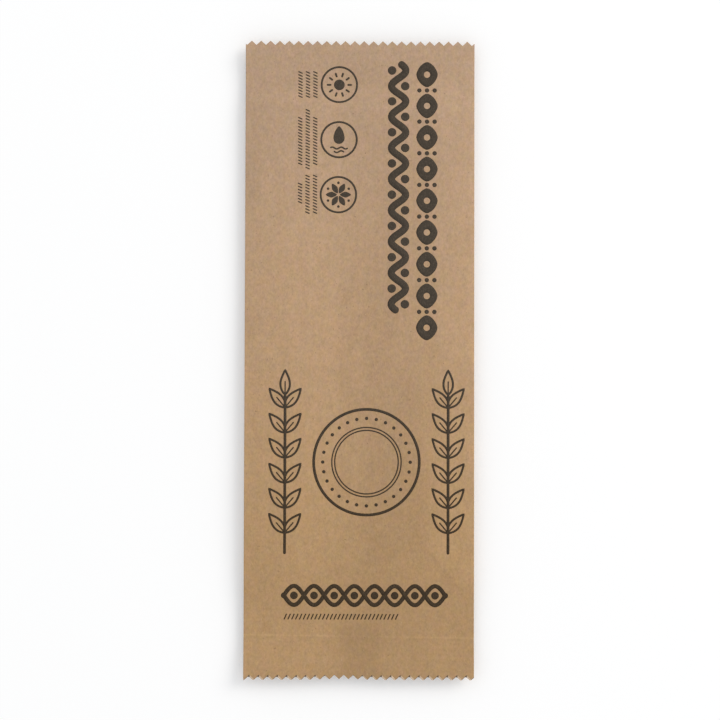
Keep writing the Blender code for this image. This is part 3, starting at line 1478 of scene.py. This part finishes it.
@dataclass
class Badge:
    """A ring with a plain motif, and three rows of ticks beside it.

    The sizes that follow the ticks' are the motifs'. Each wave under the drop has its height over
    the badge's centre and how many of its steps are cut off at either end.
    """

    motif: Motif
    centre: Pair
    rows: tuple[Pair, ...]
    radius: float = 5.8 * MM
    line: float = 0.62 * MM
    row_places: tuple[float, ...] = mm(-14.65, -17.1, -19.55)
    tick_pitch: float = 1.0 * MM
    tick_height: float = 1.45 * MM
    sun: float = 1.75 * MM
    rays: int = 10
    ray_span: Pair = mm(2.6, 4.15)
    drop_rise: float = 0.35 * MM
    drop: float = 1.75 * MM
    drop_tip: float = 4.1 * MM
    water: tuple[tuple[float, int], ...] = ((-2.75 * MM, 0), (-3.95 * MM, 12))
    water_steps: int = 60
    water_half: float = 2.9 * MM
    water_line: float = 0.5 * MM
    water_swing: float = 0.3 * MM
    water_half_wave: float = 1.45 * MM
    petals: int = 6
    petal_place: float = 2.3 * MM
    petal_size: Pair = mm(1.85, 0.95)
    petal_fullness: float = 1.35
    pip_place: float = 3.9 * MM
    pip: float = 0.42 * MM

    def draw(self, ink: InkPiece) -> None:
        """Adds the ring, the motif and the rows of ticks.

        Args:
            ink: the piece that takes the shapes.
        """
        ink.add(loop(circle(self.centre, self.radius), self.line))
        motifs = {Motif.SUN: self.add_sun, Motif.DROP: self.add_drop, Motif.ROSETTE: self.add_rosette}
        motifs[self.motif](ink)
        for x, (top, bottom) in zip(self.row_places, self.rows):
            for patch in ticks((x, top), (x, bottom), self.tick_pitch, self.tick_height):
                ink.add(patch)

    def add_sun(self, ink: InkPiece) -> None:
        """Adds a disc and its rays.

        Args:
            ink: the piece that takes the shapes.
        """
        ink.add(disc(self.centre, self.sun, steps=8))
        inner, outer = (circle(self.centre, reach, self.rays) for reach in self.ray_span)
        for ray in zip(inner, outer):
            ink.add(stroke(np.stack(ray), self.line, spacing=0.5 * MM))

    def add_drop(self, ink: InkPiece) -> None:
        """Adds a solid drop above two short waves, y = swing sin(pi x / half wave).

        Args:
            ink: the piece that takes the shapes.
        """
        x, y = self.centre
        ink.add(spot((x, y + self.drop_rise), droplet(self.drop, self.drop_tip), steps=12))
        across = np.linspace(-self.water_half, self.water_half, self.water_steps)
        wave = self.water_swing * np.sin(across / self.water_half_wave * math.pi)
        for height, cut in self.water:
            path = np.stack([x + across, y + height + wave], axis=1)[cut : self.water_steps - cut]
            ink.add(stroke(path, self.water_line, spacing=0.3 * MM))

    def add_rosette(self, ink: InkPiece) -> None:
        """Adds the petals and a pip in each gap between them.

        Args:
            ink: the piece that takes the shapes.
        """
        places = circle(self.centre, self.petal_place, self.petals)
        for turn, place in zip(turns(self.petals), places):
            ink.add(spot(place, lozenge(*self.petal_size, self.petal_fullness, turn)))
        for place in circle(self.centre, self.pip_place, 2 * self.petals)[1::2]:
            ink.add(disc(place, self.pip, steps=3))


@dataclass
class PlateAndSprigs:
    """A dotted plate between two upright sprigs of leaves, drawn in line."""

    centre: Pair = mm(2.4, -33.6)
    plate: float = 17.2 * MM
    well: float = 11.3 * MM
    inner_well: float = 10.35 * MM
    rim_dots: int = 28
    rim_dot: float = 0.55 * MM
    aside: float = 26.6 * MM
    bold: float = 0.9 * MM
    medium: float = 0.68 * MM
    fine: float = 0.42 * MM
    half_height: float = 30 * MM
    pairs: int = 6
    bare_foot: float = 7.0 * MM
    bare_crown: float = 4.2 * MM
    leaf: float = 8.0 * MM
    leaf_half: float = 1.55 * MM
    leaf_turn_deg: float = 40.0
    vein_share: float = 0.55

    def draw(self, ink: InkPiece) -> None:
        """Adds the plate and the sprigs.

        Args:
            ink: the piece that takes the shapes.
        """
        ink.add(loop(circle(self.centre, self.plate), self.bold))
        for radius in (self.well, self.inner_well):
            ink.add(loop(circle(self.centre, radius), self.fine))
        for place in circle(self.centre, (self.plate + self.well) / 2, self.rim_dots):
            ink.add(disc(place, self.rim_dot))
        for side in (-1, 1):
            self.sprig(ink, self.centre[0] + side * self.aside, self.centre[1])

    def sprig(self, ink: InkPiece, x: float, y: float) -> None:
        """Adds one sprig: a straight stem, pairs of leaves along it and one leaf at its top.

        Args:
            ink: the piece that takes the shapes.
            x: where the stem stands.
            y: the height of its middle.
        """
        foot, top = y - self.half_height, y + self.half_height
        crown = top - self.leaf
        ink.add(stroke(np.array([[x, foot], [x, crown]]), self.bold), 2)
        self.add_leaf(ink, (x, crown), math.pi / 2)
        lean = math.radians(self.leaf_turn_deg)
        for base in np.linspace(foot + self.bare_foot, crown - self.bare_crown, self.pairs):
            for side in (-1, 1):
                self.add_leaf(ink, (x, base), math.pi / 2 - side * lean)

    def add_leaf(self, ink: InkPiece, base: Pair, turn: float) -> None:
        """Adds a leaf's outline and the vein along a share of it.

        Args:
            ink: the piece that takes the shapes.
            base: where the leaf starts.
            turn: its direction, in radians.
        """
        outline = oval_leaf(base, self.leaf, self.leaf_half, turn)
        ink.add(loop(outline, self.medium, spacing=0.35 * MM))
        vein = np.stack([base, polar(base, self.vein_share * self.leaf, turn)])
        ink.add(stroke(vein, self.fine, spacing=0.5 * MM), 1)


@dataclass
class TwistBand:
    """Two waves twisted round each other with a dot in each eye and at both ends, and a row of
    ticks below."""

    left: float = -24.4 * MM
    right: float = 28.1 * MM
    middle: float = -77.0 * MM
    periods: float = 4.0
    swing: float = 3.1 * MM
    line: float = 1.35 * MM
    dot: float = 1.25 * MM
    end_dot: float = 0.95 * MM
    row: float = -83.9 * MM
    row_start: float = -23.9 * MM
    row_end: float = 13.4 * MM
    tick_pitch: float = 1.25 * MM
    tick_height: float = 1.9 * MM

    def draw(self, ink: InkPiece) -> None:
        """Adds the waves, y = swing sin(x) and its mirror image, and the dots.

        Args:
            ink: the piece that takes the shapes.
        """
        steps = 400
        x = np.linspace(self.left, self.right, steps)
        phase = 2 * math.pi * self.periods * (x - self.left) / (self.right - self.left)
        for layer, swing in enumerate((self.swing, -self.swing)):
            y = self.middle + swing * np.sin(phase)
            ink.add(stroke(np.stack([x, y], axis=1), self.line, spacing=0.45 * MM), layer)
        eyes = int(2 * self.periods)
        for k in range(eyes):
            place = self.left + (self.right - self.left) * (k + 0.5) / eyes
            ink.add(disc((place, self.middle), self.dot, steps=6))
        for end in (self.left, self.right):
            ink.add(disc((end, self.middle), self.end_dot, steps=6), 2)
        start, end = (self.row_start, self.row), (self.row_end, self.row)
        for patch in ticks(start, end, self.tick_pitch, self.tick_height):
            ink.add(patch)


@dataclass
class Print:
    """Everything that is printed on the front, in one ink."""

    form: PacketForm
    ink: PrintedInk

    def parts(self) -> dict[str, object]:
        """Lists the ornaments.

        Returns:
            The ornaments by the names of their pieces.
        """
        sun_rows = (mm(94.1, 86.1),) * 3
        drop_rows = (mm(78.9, 63.1), mm(81.5, 62.5), mm(78.9, 63.1))
        rosette_rows = (mm(59.9, 47.9), mm(59.9, 47.9), mm(57.3, 50.3))
        return {
            "lozenge_band": LozengeBand(),
            "wave_band": WaveBand(),
            "sun_badge": Badge(Motif.SUN, mm(-6.8, 90.05), sun_rows),
            "drop_badge": Badge(Motif.DROP, mm(-6.85, 71.85), drop_rows),
            "rosette_badge": Badge(Motif.ROSETTE, mm(-7.0, 53.8), rosette_rows),
            "plate_and_sprigs": PlateAndSprigs(),
            "twist_band": TwistBand(),
        }

    def build(self) -> list[bpy.types.Object]:
        """Lays each ornament on the front as its own piece.

        Returns:
            The new pieces.
        """
        material = self.ink.make()
        pieces = []
        for name, part in self.parts().items():
            ink = InkPiece(name, self.form, material, self.ink.slot)
            part.draw(ink)
            pieces.append(ink.lay())
        return pieces


# The studio


@dataclass
class Studio:
    """A plain pale floor, soft light from above and the camera over the packet."""

    floor_side: float = 6.0
    floor_points: int = 9
    floor_colour: Colour = (0.995, 0.995, 0.995)
    floor_roughness: float = 0.9
    floor_glow: float = 0.20
    ambient: float = 0.785
    ambient_tint: Colour = (0.985, 1.0, 1.02)
    key: float = 0.24
    key_tint: Colour = (1.045, 1.0, 0.94)
    lamp_side: float = 2.4
    lamp_place: tuple[float, float, float] = (2.99, 1.94, 2.50)
    camera_height: float = 1.0
    camera_tilt_deg: float = 2.43
    camera_roll_deg: float = 0.15
    metres_across: float = 0.2349
    sensor: float = 36.0
    aim: tuple[float, float, float] = (0.0002, -0.0003, 0.0045)

    def floor(self) -> bpy.types.Object:
        """Makes the floor at height 0. To the camera it is part white glow, so that it shows as white
        around the packet's shadow, and it lights nothing.

        Returns:
            The floor, marked as not part of the object.
        """
        mesh = bpy.data.meshes.new("floor")
        half = self.floor_side / 2
        steps = np.linspace(-half, half, self.floor_points)
        x, y = np.meshgrid(steps, steps)
        points = np.stack([x.ravel(), y.ravel(), 0 * x.ravel()], axis=1)
        mesh.from_pydata(points.tolist(), [], grid_faces(len(steps), len(steps)).tolist())
        floor = add_object("floor", mesh)
        sketch = NodeSketch(bpy.data.materials.new("floor"))
        sketch.dress(self.floor_colour, self.floor_roughness, 0.0)
        seen = sketch.add("LightPath").outputs["Is Camera Ray"]
        both = sketch.add("MixShader")
        sketch.link(sketch.calc("MULTIPLY", seen, self.floor_glow), both.inputs["Fac"])
        sketch.link(sketch.surface.outputs["BSDF"], both.inputs[1])
        sketch.link(sketch.add("Emission").outputs["Emission"], both.inputs[2])
        sketch.link(both.outputs["Shader"], sketch.tree.nodes["Material Output"].inputs["Surface"])
        mesh.materials.append(sketch.owner)
        return floor

    def world(self) -> None:
        """Sets an even, faintly cool surrounding light, shown as plain white where a camera sees it."""
        world = bpy.data.worlds.new("studio")
        bpy.context.scene.world = world
        sketch = NodeSketch(world)
        background = sketch.tree.nodes["Background"]
        sketch.feed(background.inputs["Color"], self.ambient_tint)
        rays = sketch.add("LightPath").outputs
        seen = rays["Is Camera Ray"]
        for kind in ("Is Glossy Ray", "Is Transmission Ray"):
            seen = sketch.calc("MAXIMUM", seen, rays[kind])
        level = sketch.calc("MULTIPLY_ADD", seen, 1.0 - self.ambient, self.ambient)
        sketch.link(level, background.inputs["Strength"])

    def lamp(self) -> bpy.types.Object:
        """Hangs one large soft lamp above the packet's right.

        A lamp of power P at distance d and angle a from the vertical lights the floor as a white
        surface of brightness P cos(a) / (pi d)^2, so P = key (pi d)^2 / cos(a).

        Returns:
            The lamp.
        """
        place = Vector(self.lamp_place)
        data = bpy.data.lights.new("soft_lamp", "AREA")
        data.shape = "SQUARE"
        data.size = self.lamp_side
        data.color = self.key_tint
        data.energy = self.key * (math.pi * place.length) ** 2 * place.length / place.z
        lamp = add_object("soft_lamp", data)
        turn = (-place).to_track_quat("-Z", "Y").to_matrix().to_4x4()
        lamp.matrix_world = Matrix.Translation(place) @ turn
        return lamp

    def camera(self) -> bpy.types.Object:
        """Makes the scene's camera, almost straight above, with the frame's width set by the lens.

        Returns:
            The camera.
        """
        data = bpy.data.cameras.new("camera")
        data.sensor_width = self.sensor
        data.lens = self.sensor * self.camera_height / self.metres_across
        tilt, roll = math.radians(self.camera_tilt_deg), math.radians(self.camera_roll_deg)
        back = Vector((0.0, -math.sin(tilt), math.cos(tilt)))
        turn = Matrix.Rotation(tilt, 4, "X") @ Matrix.Rotation(roll, 4, "Z")
        camera = add_object("camera", data)
        camera.matrix_world = Matrix.Translation(Vector(self.aim) + back * self.camera_height) @ turn
        bpy.context.scene.camera = camera
        return camera

    def build(self) -> None:
        """Sets up the floor, the light, the camera and the plain view transform."""
        self.floor()
        self.world()
        self.lamp()
        self.camera()
        bpy.context.scene.view_settings.view_transform = "Standard"


def main() -> None:
    """Builds the packet's looks and the studio, and reports each piece."""
    logging.basicConfig(level=logging.INFO, format="%(message)s")
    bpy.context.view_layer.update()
    low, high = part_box(NODE)
    form = PacketForm(width=high.x - low.x, length=high.y - low.y, top=high.z - low.z)
    wrapper = Wrapper(form, KraftPaper(), CutEdge()).build()
    LOG.info("%s: %d faces", wrapper.name, len(wrapper.data.polygons))
    for piece in Print(form, PrintedInk()).build():
        LOG.info("%s: %d faces", piece.name, len(piece.data.polygons))
    Studio().build()


if __name__ == "__main__":
    main()
